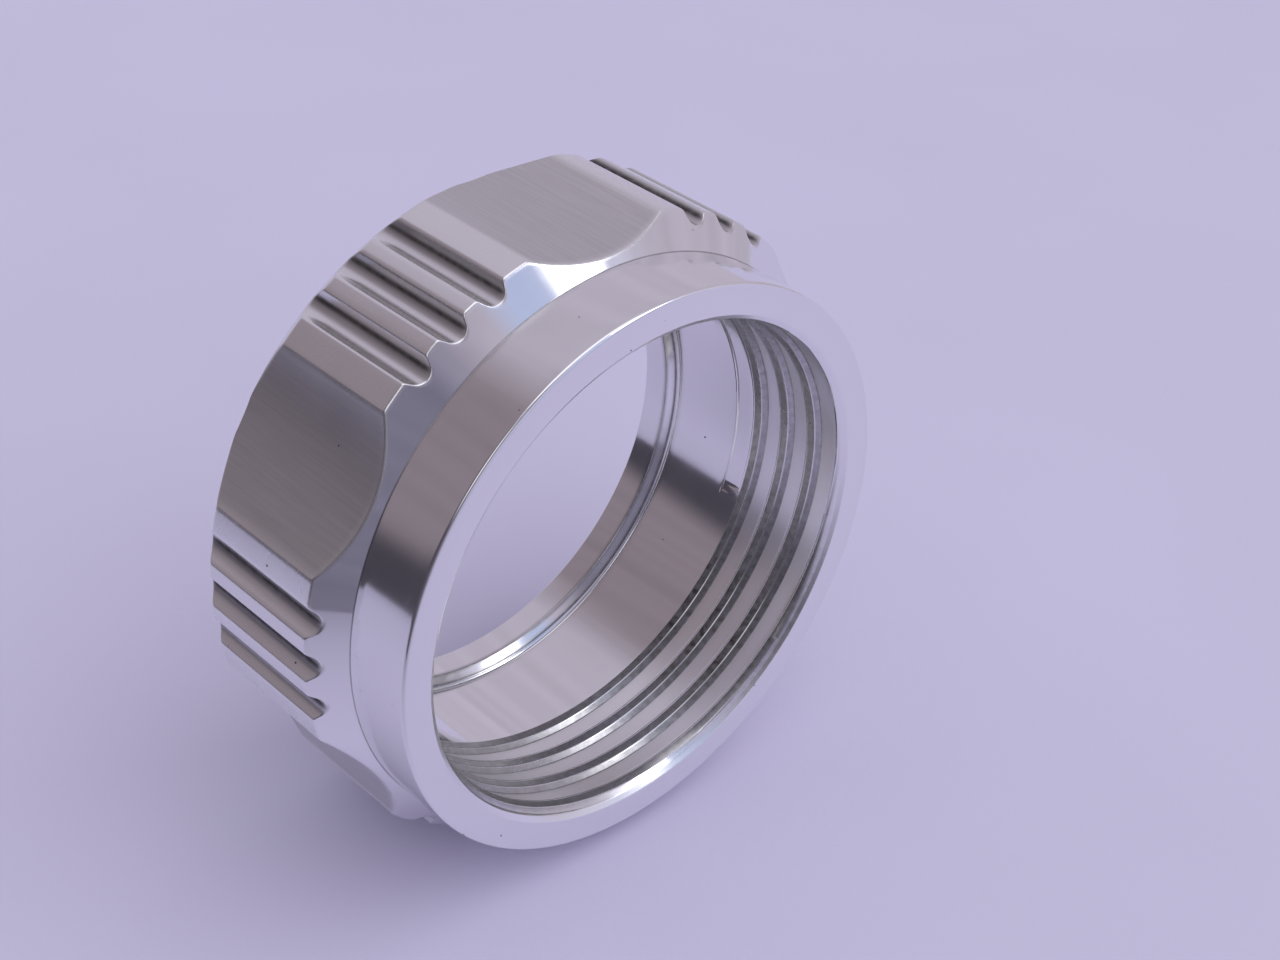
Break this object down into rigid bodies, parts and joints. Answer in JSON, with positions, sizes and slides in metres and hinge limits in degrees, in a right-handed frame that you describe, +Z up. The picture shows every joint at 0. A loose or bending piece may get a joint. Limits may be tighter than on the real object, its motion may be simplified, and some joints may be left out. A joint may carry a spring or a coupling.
{
  "type": "threaded lock ring",
  "caption": "Turned aluminium lock ring with a threaded bore, a plain collar, finger hollows between grooved grip lands, and an inner shoulder with a narrower rear lip.",
  "frame": {"origin": "under the middle of the ring, on the surface that it stands on", "axes": "+Z up through the middle of the top hollow, ring axis along Y with the threaded mouth towards -Y"},
  "size_m": [0.0746, 0.0306, 0.0725],
  "materials": {
    "polished_aluminium": "turned and polished bare metal"
  },
  "bodies": {
    "root": {"lock_ring": "polished_aluminium"}
  },
  "joints": []
}
